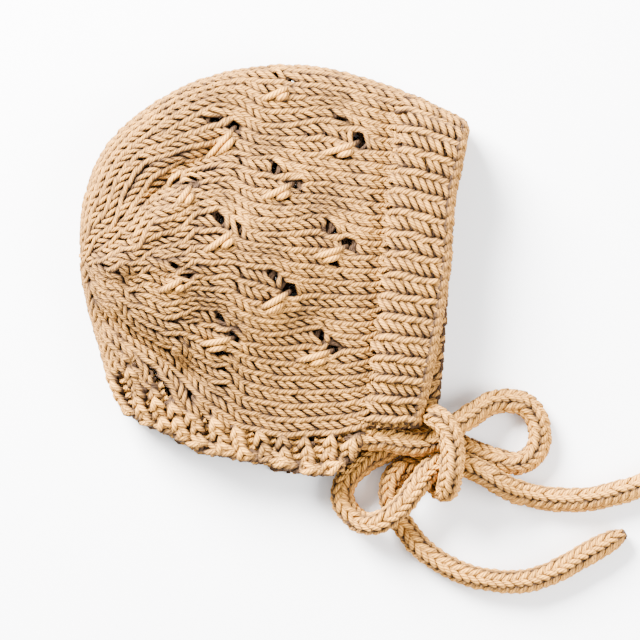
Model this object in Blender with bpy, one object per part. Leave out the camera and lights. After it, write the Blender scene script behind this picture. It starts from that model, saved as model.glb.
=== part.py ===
"""Knitted baby bonnet lying on its side, with its two ties in a bow: the crown shell, the ribbed brim, the ribbed neck
band, and the tie cords. Metres, Z up, the underside at z = 0, the face opening toward +X, the top fold toward +Y."""

import math

import bmesh
import bpy
import numpy as np
from mathutils import Vector

# Overall sizes
LENGTH = 0.1576  # from the back of the crown to the front of the brim
HEIGHT = 0.1620  # from the neck edge to the top fold
CROWN_WALL = 0.0045
BRIM_WALL = 0.0070
NECK_WALL = 0.0056
SEAM_GAP = 0.0004  # between one piece and the next
FOLD_RISE = 0.0092  # how high the outermost line of a fold stands
FOLD_REACH = 0.0140  # how far in from the outline a fold takes to round over
CROWN_HEIGHT = 0.0185  # top of the upper layer where nothing puffs it
BRIM_LIFT = 0.0022  # how much the brim stands above the crown's sides
NECK_LIFT = 0.0006  # and the neck band
RIB_DEPTH = 0.0014  # from the top of a rib down to the furrow beside it
BRIM_RIBS = 17
NECK_RIBS = 12
CORD_RADIUS = 0.0043
EYELET_RADIUS = 0.0016

# How finely the surfaces are divided
ROUND_STEPS = 33
DEEP_STEPS = 20
RIB_STEPS = 4
BRIM_DEEP_STEPS = 3
NECK_DEEP_STEPS = 2

# Edges seen from above: share of the length from the back, share of the height from the neck edge
TOP_EDGE = (  # from the back point round the top fold to the face
    (0.000, 0.506),
    (0.013, 0.672),
    (0.063, 0.795),
    (0.170, 0.894),
    (0.312, 0.969),
    (0.454, 0.998),
    (0.596, 1.000),
    (0.741, 0.969),
    (0.835, 0.936),
    (0.883, 0.914),
    (1.000, 0.859),
)
BACK_EDGE = (  # from the back point down the centre-back fold to the neck edge
    (0.000, 0.506),
    (0.020, 0.407),
    (0.050, 0.300),
    (0.068, 0.235),
    (0.110, 0.146),
)
FACE_EDGE = (  # the brim's front edge, from the top fold down
    (1.000, 0.859),
    (0.954, 0.644),
    (0.944, 0.500),
    (0.924, 0.368),
    (0.896, 0.222),
    (0.868, 0.104),
)
LOWER_FACE_LEAD = (  # how far the layer beneath stands out past the face edge: share of the way down, share of length
    (0.00, 0.000),
    (0.50, 0.000),
    (0.70, 0.016),
    (0.90, 0.034),
    (1.00, 0.034),
)
BRIM_EDGE = (  # where brim and sides meet, from the top fold down
    (0.835, 0.936),
    (0.822, 0.805),
    (0.797, 0.665),
    (0.789, 0.516),
    (0.756, 0.300),
    (0.736, 0.104),
)
NECK_LINE = (  # where the sides and the neck band meet, from the face end to the centre-back fold
    (0.736, 0.104),
    (0.698, 0.088),
    (0.600, 0.078),
    (0.515, 0.073),
    (0.404, 0.101),
    (0.307, 0.131),
    (0.203, 0.200),
    (0.130, 0.246),
    (0.068, 0.235),
)
NECK_EDGE = (  # the neck band's outer edge, from the face end to the centre-back fold
    (0.704, 0.046),
    (0.670, 0.012),
    (0.596, 0.000),
    (0.515, 0.018),
    (0.404, 0.038),
    (0.307, 0.062),
    (0.213, 0.111),
    (0.157, 0.128),
    (0.110, 0.146),
)

# Rounded hills and hollows of the upper layer: from and to as shares, lift as a share of the crown's height, width as
# a share of the length
SWELLS = (
    ("crown puff", 0.30, 0.52, 0.42, 0.50, 0.919, 0.270),
    ("face puff", 0.92, 0.78, 0.86, 0.28, 0.459, 0.160),
    ("crown valley", 0.350, 0.788, 0.196, 0.674, -0.260, 0.028),
    ("crown ridge", 0.249, 0.652, 0.110, 0.510, 0.160, 0.032),
    ("back ridge", 0.060, 0.504, 0.310, 0.504, 0.110, 0.030),
    ("lower valley", 0.070, 0.373, 0.287, 0.232, -0.290, 0.034),
    ("brim valley", 0.800, 0.880, 0.745, 0.200, -0.170, 0.026),
)

# Lace eyelets in threes, each like an arrowhead toward the brim: point of the arrow as shares, heading, size
EYELET_GROUPS = (
    (0.545, 0.955, 12.0, 0.85),
    (0.716, 0.810, -4.0, 1.15),
    (0.401, 0.847, 22.0, 0.90),
    (0.551, 0.709, 10.0, 1.00),
    (0.292, 0.706, 35.0, 0.75),
    (0.406, 0.595, 14.0, 0.90),
    (0.687, 0.553, 0.0, 1.10),
    (0.541, 0.442, 0.0, 1.10),
    (0.280, 0.478, 0.0, 0.70),
    (0.401, 0.328, -8.0, 1.00),
    (0.651, 0.297, -4.0, 1.00),
)
ARROW_BACK = 0.0062  # from the arrow's point back to its two other eyelets
ARROW_HALF = 0.0056  # and out to either side

# Cord routes in metres
UPPER_TIE = (  # from the brim's upper corner: knot, right loop, back through, left loop, knot, right tail
    (0.0390, -0.0690, 0.0136),
    (0.0455, -0.0692, 0.0136),
    (0.0525, -0.0708, 0.0136),
    (0.0590, -0.0712, 0.0136),
    (0.0644, -0.0700, 0.0136),
    (0.0686, -0.0658, 0.0136),
    (0.0728, -0.0634, 0.0126),
    (0.0796, -0.0594, 0.0094),
    (0.0868, -0.0551, 0.0058),
    (0.0940, -0.0538, 0.0045),
    (0.1006, -0.0552, 0.0045),
    (0.1056, -0.0610, 0.0045),
    (0.1068, -0.0686, 0.0045),
    (0.1046, -0.0750, 0.0045),
    (0.0992, -0.0788, 0.0045),
    (0.0920, -0.0784, 0.0045),
    (0.0840, -0.0758, 0.0045),
    (0.0764, -0.0726, 0.0045),
    (0.0700, -0.0698, 0.0045),
    (0.0620, -0.0690, 0.0045),
    (0.0545, -0.0692, 0.0045),
    (0.0488, -0.0712, 0.0045),
    (0.0436, -0.0746, 0.0045),
    (0.0372, -0.0780, 0.0045),
    (0.0312, -0.0832, 0.0045),
    (0.0276, -0.0884, 0.0045),
    (0.0276, -0.0946, 0.0048),
    (0.0312, -0.1000, 0.0064),
    (0.0366, -0.1030, 0.0100),
    (0.0424, -0.1022, 0.0134),
    (0.0476, -0.0990, 0.0140),
    (0.0528, -0.0938, 0.0140),
    (0.0586, -0.0858, 0.0138),
    (0.0646, -0.0798, 0.0136),
    (0.0716, -0.0780, 0.0136),
    (0.0784, -0.0800, 0.0138),
    (0.0846, -0.0832, 0.0138),
    (0.0904, -0.0870, 0.0120),
    (0.0962, -0.0900, 0.0080),
    (0.1030, -0.0920, 0.0050),
    (0.1110, -0.0934, 0.0045),
    (0.1188, -0.0938, 0.0045),
    (0.1264, -0.0934, 0.0045),
    (0.1340, -0.0920, 0.0045),
    (0.1464, -0.0884, 0.0045),
    (0.1580, -0.0836, 0.0045),
    (0.1690, -0.0776, 0.0045),
)
LOWER_TIE = (  # from the brim's lower corner: over the knot, down round its front and back under, the left tail
    (0.0610, -0.0590, 0.0200),
    (0.0655, -0.0606, 0.0222),
    (0.0692, -0.0650, 0.0230),
    (0.0710, -0.0706, 0.0231),
    (0.0712, -0.0774, 0.0231),
    (0.0706, -0.0838, 0.0215),
    (0.0698, -0.0882, 0.0172),
    (0.0684, -0.0898, 0.0120),
    (0.0662, -0.0882, 0.0068),
    (0.0632, -0.0846, 0.0046),
    (0.0600, -0.0802, 0.0045),
    (0.0556, -0.0796, 0.0045),
    (0.0512, -0.0812, 0.0045),
    (0.0478, -0.0852, 0.0045),
    (0.0464, -0.0910, 0.0045),
    (0.0478, -0.0974, 0.0045),
    (0.0520, -0.1040, 0.0045),
    (0.0578, -0.1116, 0.0045),
    (0.0660, -0.1182, 0.0045),
    (0.0764, -0.1234, 0.0045),
    (0.0884, -0.1262, 0.0045),
    (0.1016, -0.1262, 0.0045),
    (0.1144, -0.1218, 0.0045),
    (0.1248, -0.1160, 0.0045),
    (0.1330, -0.1114, 0.0045),
    (0.1398, -0.1078, 0.0045),
)
CORD_STEP = 0.0071  # from one point of a cord to the next


def plan(shares):
    """Shares of length and height to metres, about the middle of the outline."""
    shares = np.asarray(shares, float)
    return (shares - 0.5) * [LENGTH, HEIGHT]


def through(points, at):
    """A smooth curve through the points; at runs from 0 to 1 by the straight distance between them."""
    points = np.asarray(points, float)
    step = np.linalg.norm(np.diff(points, axis=0), axis=1)
    knots = np.concatenate([[0.0], np.cumsum(step)])
    slopes = np.gradient(points, knots, axis=0)
    t = np.clip(np.asarray(at, float), 0.0, 1.0) * knots[-1]
    i = np.clip(np.searchsorted(knots, t, side="right") - 1, 0, len(points) - 2)
    h = (knots[i + 1] - knots[i])[:, None]
    s = ((t - knots[i])[:, None]) / h
    return (
        (2 * s**3 - 3 * s**2 + 1) * points[i]
        + (s**3 - 2 * s**2 + s) * h * slopes[i]
        + (3 * s**2 - 2 * s**3) * points[i + 1]
        + (s**3 - s**2) * h * slopes[i + 1]
    )


def part_of(points, first, last):
    """The points of a table from one row to another, both kept."""
    return points[first : last + 1]


def outline():
    """The fold lines all round the crown, from the neck's back end over the back point and the top to the face."""
    back = through(plan(BACK_EDGE), np.linspace(1.0, 0.0, 120))
    top = through(plan(TOP_EDGE), np.linspace(0.0, 1.0, 400))
    return np.vstack([back[:-1], top])


def from_fold(points):
    """Distance of each point in from the nearest fold line, and the way inward there."""
    line = outline()
    along = np.gradient(line, axis=0)
    along /= np.linalg.norm(along, axis=1)[:, None]
    inward = np.stack([along[:, 1], -along[:, 0]], axis=1)
    gaps = points[:, None, :] - line[None, :, :]
    nearest = np.argmin((gaps**2).sum(2), axis=1)
    away = ((points - line[nearest]) * inward[nearest]).sum(1)
    return np.maximum(away, 0.0), inward[nearest]


def swell(points):
    """Height that the hills and hollows add to the upper layer."""
    total = np.zeros(len(points))
    for _, x0, y0, x1, y1, lift, width in SWELLS:
        a, b = plan([(x0, y0), (x1, y1)])
        span = b - a
        t = np.clip(((points - a) @ span) / (span @ span), 0.0, 1.0)
        off = np.linalg.norm(points - a - t[:, None] * span, axis=1)
        total += lift * CROWN_HEIGHT * np.exp(-((off / (width * LENGTH)) ** 2))
    return total


def faces_of(points, upper, wall, lift):
    """Outer and inner surface points of one layer above the plan points; upper is 1 on the upper layer, 0 beneath."""
    away, inward = from_fold(points)
    run = np.minimum(away / FOLD_REACH, 1.0)
    lean = 1.0 - run
    rise = np.sqrt(1.0 - lean**2)
    top = CROWN_HEIGHT + swell(points) + lift
    high = FOLD_RISE + (top - FOLD_RISE) * rise
    low = FOLD_RISE * (1.0 - rise)
    outer = np.column_stack([points, np.where(upper, high, low)])
    moved = points + inward * (wall * lean)[:, None]
    drop = np.where(upper, -wall * rise, wall * rise)
    inner = np.column_stack([moved, outer[:, 2] + drop])
    return outer, inner


def coons(near, far, first, last, across, deep):
    """Plan points of a patch between four edges: near and far run across, first and last run deep."""
    u = across[None, :, None]
    v = deep[:, None, None]
    n, f = near[None, :, :], far[None, :, :]
    a, b = first[:, None, :], last[:, None, :]
    corners = (
        (1 - u) * (1 - v) * near[0] + u * (1 - v) * near[-1] + (1 - u) * v * far[0] + u * v * far[-1]
    )
    return (1 - v) * n + v * f + (1 - u) * a + u * b - corners


def eased(count):
    """Shares from 0 to 1 packed at the start, where a fold rounds over."""
    t = np.linspace(0.0, 1.0, count + 1)
    return t * (0.30 + 0.70 * t)


def eased_both(count):
    """Shares from 0 to 1 packed at both ends."""
    t = np.linspace(0.0, 1.0, count + 1)
    return 0.5 * t + 0.5 * (0.5 - 0.5 * np.cos(math.pi * t))


def cut_back(points, amount):
    """An edge moved by a distance to its right hand side as it runs."""
    along = np.gradient(points, axis=0)
    along /= np.linalg.norm(along, axis=1)[:, None]
    return points + np.stack([along[:, 1], -along[:, 0]], axis=1) * amount


def new_object(name, mesh, material):
    """A linked object of the mesh with one material."""
    mesh.name = name
    mesh.materials.append(material)
    item = bpy.data.objects.new(name, mesh)
    bpy.context.scene.collection.objects.link(item)
    return item


def material(name, colour, rough):
    """A plain Principled material."""
    item = bpy.data.materials.new(name)
    item.use_nodes = True
    shader = item.node_tree.nodes["Principled BSDF"]
    shader.inputs["Base Color"].default_value = (*colour, 1.0)
    shader.inputs["Roughness"].default_value = rough
    return item


def thick_sheet(outer, inner, closed_round, to_point):
    """A closed body between two grids of points: round it may close on itself, and its last row may be one point."""
    rows, columns = outer.shape[:2]
    full = rows - 1 if to_point else rows
    body = bmesh.new()
    skins = []
    for skin in (outer, inner):
        grid = [[body.verts.new(tuple(p)) for p in skin[r]] for r in range(full)]
        tip = body.verts.new(tuple(skin[-1][0])) if to_point else None
        skins.append((grid, tip))
    last = columns if closed_round else columns - 1
    for (grid, tip), flip in zip(skins, (False, True)):
        for r in range(full - 1):
            for c in range(last):
                d = (c + 1) % columns
                quad = [grid[r][c], grid[r][d], grid[r + 1][d], grid[r + 1][c]]
                body.faces.new(quad[::-1] if flip else quad)
        if to_point:
            for c in range(last):
                d = (c + 1) % columns
                tri = [grid[full - 1][c], grid[full - 1][d], tip]
                body.faces.new(tri[::-1] if flip else tri)
    (out, _), (ins, _) = skins
    for c in range(last):
        d = (c + 1) % columns
        body.faces.new([out[0][d], out[0][c], ins[0][c], ins[0][d]])
        if not to_point:
            body.faces.new([out[-1][c], out[-1][d], ins[-1][d], ins[-1][c]])
    if not closed_round:
        for r in range(rows - 1):
            body.faces.new([out[r][0], out[r + 1][0], ins[r + 1][0], ins[r][0]])
            body.faces.new([out[r + 1][-1], out[r][-1], ins[r][-1], ins[r + 1][-1]])
    bmesh.ops.recalc_face_normals(body, faces=body.faces)
    bmesh.ops.triangulate(body, faces=body.faces)
    if body.calc_volume(signed=True) < 0:
        bmesh.ops.reverse_faces(body, faces=body.faces)
    mesh = bpy.data.meshes.new("sheet")
    body.to_mesh(mesh)
    body.free()
    return mesh


def crown_boundary(across):
    """The crown shell's open edge: down the brim edge, then along the neck line to the centre-back fold."""
    brim = plan(BRIM_EDGE)
    neck = plan(NECK_LINE)
    down = through(brim, np.linspace(0.0, 1.0, 200))
    back = through(neck, np.linspace(0.0, 1.0, 200))
    down = cut_back(down, SEAM_GAP)
    back = cut_back(back, SEAM_GAP)
    edge = np.vstack([down[:-3], back[3:]])
    length = np.concatenate([[0.0], np.cumsum(np.linalg.norm(np.diff(edge, axis=0), axis=1))])
    share = across * length[-1]
    return np.column_stack([np.interp(share, length, edge[:, k]) for k in (0, 1)])


def crown_grid():
    """Outer and inner points of the crown shell, both layers as one round of columns closing at the back point."""
    across = eased_both(ROUND_STEPS)
    deep = 1.0 - eased(DEEP_STEPS)[::-1]
    near = crown_boundary(across)
    tip = plan([TOP_EDGE[0]])
    far = np.repeat(tip, len(across), axis=0)
    top = through(plan(part_of(TOP_EDGE, 0, 8)), 1.0 - deep)
    back = through(plan(part_of(BACK_EDGE, 0, 3)), 1.0 - deep)
    top[0] = near[0]
    back[0] = near[-1]
    points = coons(near, far, top, back, across, deep)
    rows, columns = points.shape[:2]
    flat = points.reshape(-1, 2)
    upper = faces_of(flat, np.ones(len(flat), bool), CROWN_WALL, 0.0)
    lower = faces_of(flat, np.zeros(len(flat), bool), CROWN_WALL, 0.0)
    skins = []
    for over, under in zip(upper, lower):
        over = over.reshape(rows, columns, 3)
        under = under.reshape(rows, columns, 3)
        skins.append(np.concatenate([over, under[:, -2:0:-1]], axis=1))
    return skins


def eyelet_holes():
    """Plan centres and radii of all the eyelets."""
    holes = []
    for x, y, heading, size in EYELET_GROUPS:
        place = plan([(x, y)])[0]
        turn = math.radians(heading)
        ahead = np.array([math.cos(turn), math.sin(turn)])
        aside = np.array([-ahead[1], ahead[0]])
        holes.append((place, 1.25 * size))
        for side in (-1.0, 1.0):
            centre = place - ahead * ARROW_BACK * size + aside * side * ARROW_HALF * size
            holes.append((centre, 0.95 * size))
    return holes


def eyelet_cutters():
    """Upright eight-sided pegs, one through both layers at each eyelet."""
    body = bmesh.new()
    for centre, size in eyelet_holes():
        made = bmesh.ops.create_cone(
            body,
            cap_ends=True,
            segments=8,
            radius1=EYELET_RADIUS * size,
            radius2=EYELET_RADIUS * size,
            depth=6 * CROWN_HEIGHT,
        )
        bmesh.ops.translate(body, vec=Vector((centre[0], centre[1], CROWN_HEIGHT)), verts=made["verts"])
    mesh = bpy.data.meshes.new("pegs")
    body.to_mesh(mesh)
    body.free()
    return mesh


def make_crown(yarn):
    """The crown and sides, with the eyelets cut through."""
    outer, inner = crown_grid()
    shell = new_object("crown_shell", thick_sheet(outer, inner, True, True), yarn)
    pegs = new_object("pegs", eyelet_cutters(), yarn)
    cut = shell.modifiers.new("eyelets", "BOOLEAN")
    cut.operation = "DIFFERENCE"
    cut.solver = "EXACT"
    cut.object = pegs
    graph = bpy.context.evaluated_depsgraph_get()
    done = bpy.data.meshes.new_from_object(shell.evaluated_get(graph))
    shell.modifiers.clear()
    shell.data = done
    shell.data.name = "crown_shell"
    bpy.data.objects.remove(pegs)


def ribbed(outer, inner, wall, across, ribs):
    """The outer points sunk toward the inner ones between ribs, as a cosine of the share across."""
    sunk = RIB_DEPTH * (0.5 - 0.5 * np.cos(2 * math.pi * (ribs * across - 0.25)))
    return outer + (inner - outer) * (sunk / wall)[None, :, None]


def band(name, near, far, first, last, across, deep, wall, lift, lead, ribs, yarn):
    """A band of two ribbed layers joined along a fold: near and far edges run down from the fold."""
    points = coons(near, far, first, last, across, deep)
    rows, columns = points.shape[:2]
    flat = points.reshape(-1, 2)
    upper = faces_of(flat, np.ones(len(flat), bool), wall, lift)
    shifted = (points + lead).reshape(-1, 2)
    lower = faces_of(shifted, np.zeros(len(flat), bool), wall, 0.0)
    over, over_inner = (skin.reshape(rows, columns, 3) for skin in upper)
    under, under_inner = (skin.reshape(rows, columns, 3) for skin in lower)
    over = ribbed(over, over_inner, wall, across, ribs)
    under = ribbed(under, under_inner, wall, across, ribs)
    outer = np.concatenate([under[:, :0:-1], over], axis=1)
    inner = np.concatenate([under_inner[:, :0:-1], over_inner], axis=1)
    return new_object(name, thick_sheet(outer, inner, False, False), yarn)


def make_brim(yarn):
    """The ribbed brim, folded along the top, its lower layer standing out past the upper one."""
    across = np.linspace(0.0, 1.0, BRIM_RIBS * RIB_STEPS + 1)
    deep = np.linspace(0.0, 1.0, BRIM_DEEP_STEPS + 1)
    near = through(plan(FACE_EDGE), across)
    far = cut_back(through(plan(BRIM_EDGE), across), -SEAM_GAP)
    top = through(plan(part_of(TOP_EDGE, 8, 10)), 1.0 - deep)
    top[0], top[-1] = near[0], far[0]
    foot = near[-1] + (far[-1] - near[-1]) * deep[:, None]
    shares = np.array(LOWER_FACE_LEAD)
    out = np.interp(across, shares[:, 0], shares[:, 1]) * LENGTH
    lead = np.zeros((len(deep), len(across), 2))
    lead[:, :, 0] = (1.0 - deep)[:, None] * out
    band("brim_band", near, far, top, foot, across, deep, BRIM_WALL, BRIM_LIFT, lead, BRIM_RIBS, yarn)


def make_neck(yarn):
    """The ribbed neck band, folded at the centre back."""
    across = np.linspace(0.0, 1.0, NECK_RIBS * RIB_STEPS + 1)
    deep = np.linspace(0.0, 1.0, NECK_DEEP_STEPS + 1)
    near = through(plan(NECK_EDGE), across)[::-1]
    far = cut_back(through(plan(NECK_LINE), across), -SEAM_GAP)[::-1]
    fold = through(plan(part_of(BACK_EDGE, 3, 4)), 1.0 - deep)
    far[-1] += SEAM_GAP * np.array([2.25, -1.5])
    fold[0], fold[-1] = near[0], far[0]
    end = near[-1] + (far[-1] - near[-1]) * deep[:, None]
    lead = np.zeros((len(deep), len(across), 2))
    band("neck_band", near, far, fold, end, across, deep, NECK_WALL, NECK_LIFT, lead, NECK_RIBS, yarn)


def make_cord(name, route, yarn):
    """A round cord along a smooth curve through the route's points."""
    route = np.array(route)
    length = np.linalg.norm(np.diff(route, axis=0), axis=1).sum()
    count = max(8, int(round(length / CORD_STEP)))
    places = through(route, np.linspace(0.0, 1.0, count + 1))
    curve = bpy.data.curves.new(name, "CURVE")
    curve.dimensions = "3D"
    curve.bevel_depth = CORD_RADIUS
    curve.bevel_resolution = 2
    curve.use_fill_caps = True
    line = curve.splines.new("POLY")
    line.points.add(len(places) - 1)
    for point, place in zip(line.points, places):
        point.co = (*place, 1.0)
    curve.materials.append(yarn)
    item = bpy.data.objects.new(name, curve)
    bpy.context.scene.collection.objects.link(item)


def main():
    """Clear the scene and make each piece."""
    for item in list(bpy.data.objects):
        bpy.data.objects.remove(item)
    make_crown(material("camel wool, stocking stitch", (0.62, 0.40, 0.22), 0.95))
    make_brim(material("camel wool, rib", (0.60, 0.38, 0.21), 0.95))
    make_neck(material("camel wool, neck rib", (0.58, 0.37, 0.20), 0.95))
    make_cord("tie_upper", UPPER_TIE, material("camel wool, upper cord", (0.61, 0.39, 0.21), 0.95))
    make_cord("tie_lower", LOWER_TIE, material("camel wool, lower cord", (0.61, 0.39, 0.21), 0.95))


main()
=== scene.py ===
"""Knitted baby bonnet lying on its side with its ties in a bow, every stitch a loop of yarn. Run as a script."""

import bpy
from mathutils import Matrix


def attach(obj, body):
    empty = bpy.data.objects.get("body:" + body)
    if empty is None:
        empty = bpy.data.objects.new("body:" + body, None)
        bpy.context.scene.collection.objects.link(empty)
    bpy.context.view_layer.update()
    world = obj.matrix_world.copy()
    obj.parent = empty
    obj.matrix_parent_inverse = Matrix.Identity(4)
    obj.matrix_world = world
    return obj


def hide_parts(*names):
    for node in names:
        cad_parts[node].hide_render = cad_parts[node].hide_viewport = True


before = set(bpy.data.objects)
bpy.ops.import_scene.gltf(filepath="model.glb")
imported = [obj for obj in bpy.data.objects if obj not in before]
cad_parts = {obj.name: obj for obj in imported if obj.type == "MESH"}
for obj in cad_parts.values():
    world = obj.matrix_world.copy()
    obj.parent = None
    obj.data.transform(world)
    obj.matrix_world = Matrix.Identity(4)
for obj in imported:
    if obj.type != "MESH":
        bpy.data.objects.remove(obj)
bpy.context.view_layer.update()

import math

import bpy
import numpy as np
from bpy.props import FloatProperty, FloatVectorProperty, IntProperty, PointerProperty
from mathutils import Vector

bl_info = {
    "name": "Knitted baby bonnet",
    "version": (1, 0, 0),
    "blender": (4, 5, 0),
    "location": "View3D > Sidebar > Bonnet",
    "description": "Knits a baby bonnet with lace eyelets, rib bands and cord ties",
    "category": "Add Mesh",
}

MM = 0.001

# Sizes of the bonnet in metres, the same as its solids
LENGTH = 0.1576
HEIGHT = 0.1620
BRIM_WALL = 0.0070
FOLD_RISE = 0.0092
FOLD_REACH = 0.0140
CROWN_HEIGHT = 0.0185
BRIM_LIFT = 0.0022
NECK_LIFT = 0.0006
BRIM_RIBS = 17
NECK_RIBS = 12

# Depth of the columns' middle under the face of each wall
CROWN_SEAT = 0.0021
BRIM_SEAT = 0.0020
NECK_SEAT = 0.0022

# Yarn radius and reach of a loop out of the cloth, for each kind of stitch
CROWN_REACH = 0.0010
BRIM_KNIT = (0.00114, 0.0011)
BRIM_PURL = (0.0011, 0.0006)
EDGE_CHAIN = (0.00118, 0.0008)
NECK_KNIT = (0.00122, 0.0011)
NECK_PURL = (0.0013, 0.0009)
TIE_KNIT = (0.00112, 0.00095)

# Rows, widths and places of the bands' and ties' stitches
EDGE_WIDTH = 0.0042
BRIM_SUNK = 0.0010
BRIM_DIVE = 0.0018  # how far a rib goes down where it meets the crown
DIVE_LENGTH = 0.0050
NECK_ROW = 0.0031
NECK_WIDTH = 0.0050
NECK_PURL_WIDTH = 0.0048
NECK_RAISED = 0.0004
NECK_SUNK = 0.0016
NECK_EDGE_ROW = 0.0036
NECK_UNEVEN = 0.00055
NECK_EDGE_UNEVEN = 0.0006
TIE_ROW = 0.0035
TIE_CORE = 0.0027
TIE_TAPER = 0.012
TIE_TWIST = 6.0  # radians in a metre

# Edges seen from above: share of the length from the back, share of the height from the neck edge
TOP_EDGE = (
    (0.000, 0.506),
    (0.013, 0.672),
    (0.063, 0.795),
    (0.170, 0.894),
    (0.312, 0.969),
    (0.454, 0.998),
    (0.596, 1.000),
    (0.741, 0.969),
    (0.835, 0.936),
    (0.883, 0.914),
    (1.000, 0.859),
)
BACK_EDGE = (
    (0.000, 0.506),
    (0.020, 0.407),
    (0.050, 0.300),
    (0.068, 0.235),
    (0.110, 0.146),
)
FACE_EDGE = (
    (1.000, 0.859),
    (0.954, 0.644),
    (0.944, 0.500),
    (0.924, 0.368),
    (0.896, 0.222),
    (0.868, 0.104),
)
LOWER_FACE_LEAD = (
    (0.00, 0.000),
    (0.50, 0.000),
    (0.70, 0.016),
    (0.90, 0.034),
    (1.00, 0.034),
)
BRIM_EDGE = (
    (0.835, 0.936),
    (0.822, 0.805),
    (0.797, 0.665),
    (0.789, 0.516),
    (0.756, 0.300),
    (0.736, 0.104),
)
CAST_ON = (  # the row where the closed back of the crown begins, from the top fold to the centre-back fold
    (0.454, 0.998),
    (0.420, 0.750),
    (0.412, 0.500),
    (0.414, 0.300),
    (0.404, 0.101),
    (0.307, 0.131),
    (0.203, 0.200),
    (0.130, 0.246),
    (0.068, 0.235),
)
CAST_ON_NECK = 4  # the row of the table where the neck line begins
BACK_WALES = (  # share of the first round, then the places a quarter, half and three quarters of the way to the back
    (0.082, 0.262, 0.854, 0.131, 0.776, 0.052, 0.651),
    (0.140, 0.273, 0.798, 0.149, 0.738, 0.072, 0.627),
    (0.172, 0.284, 0.756, 0.173, 0.695, 0.086, 0.605),
    (0.224, 0.296, 0.685, 0.186, 0.651, 0.096, 0.581),
    (0.306, 0.305, 0.622, 0.202, 0.596, 0.109, 0.545),
    (0.398, 0.309, 0.492, 0.209, 0.493, 0.110, 0.497),
    (0.450, 0.307, 0.442, 0.206, 0.452, 0.104, 0.469),
    (0.545, 0.312, 0.348, 0.198, 0.398, 0.104, 0.447),
    (0.635, 0.320, 0.264, 0.198, 0.348, 0.096, 0.425),
    (0.708, 0.292, 0.210, 0.175, 0.309, 0.084, 0.405),
    (0.786, 0.236, 0.212, 0.124, 0.309, 0.061, 0.402),
    (0.882, 0.165, 0.244, 0.071, 0.328, 0.038, 0.415),
)
NECK_LINE = (
    (0.736, 0.104),
    (0.698, 0.088),
    (0.600, 0.078),
    (0.515, 0.073),
    (0.404, 0.101),
    (0.307, 0.131),
    (0.203, 0.200),
    (0.130, 0.246),
    (0.068, 0.235),
)
NECK_LINE_BACK = 4
NECK_EDGE = (
    (0.704, 0.046),
    (0.670, 0.012),
    (0.596, 0.000),
    (0.515, 0.018),
    (0.404, 0.038),
    (0.307, 0.062),
    (0.213, 0.111),
    (0.157, 0.128),
    (0.110, 0.146),
)

# Hills and hollows of the upper layer: from and to as shares, lift as a share of the crown's height, width as a share
# of the length
SWELLS = (
    ("crown puff", 0.30, 0.52, 0.42, 0.50, 0.919, 0.270),
    ("face puff", 0.92, 0.78, 0.86, 0.28, 0.459, 0.160),
    ("crown valley", 0.350, 0.788, 0.196, 0.674, -0.260, 0.028),
    ("crown ridge", 0.249, 0.652, 0.110, 0.510, 0.160, 0.032),
    ("back ridge", 0.060, 0.504, 0.310, 0.504, 0.110, 0.030),
    ("lower valley", 0.070, 0.373, 0.287, 0.232, -0.290, 0.034),
    ("brim valley", 0.800, 0.880, 0.745, 0.200, -0.170, 0.026),
)

# Lace eyelets in threes: point of the arrow as shares, heading in degrees, size
EYELET_GROUPS = (
    (0.545, 0.955, 12.0, 0.85),
    (0.716, 0.810, -4.0, 1.15),
    (0.401, 0.847, 22.0, 0.90),
    (0.551, 0.709, 10.0, 1.00),
    (0.292, 0.706, 35.0, 0.75),
    (0.406, 0.595, 14.0, 0.90),
    (0.687, 0.553, 0.0, 1.10),
    (0.541, 0.442, 0.0, 1.10),
    (0.280, 0.478, 0.0, 0.70),
    (0.401, 0.328, -8.0, 1.00),
    (0.651, 0.297, -4.0, 1.00),
)
ARROW_BACK = 0.0062
ARROW_HALF = 0.0056
POINT_RADIUS = 0.0030
WING_RADIUS = 0.0021
LACE_SWAY = 0.0040
STRANDS = ((0.0004, 0.0165, 0.0004), (0.0030, 0.0095, 0.0030))  # start, length and offset of the two at each arrow

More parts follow.
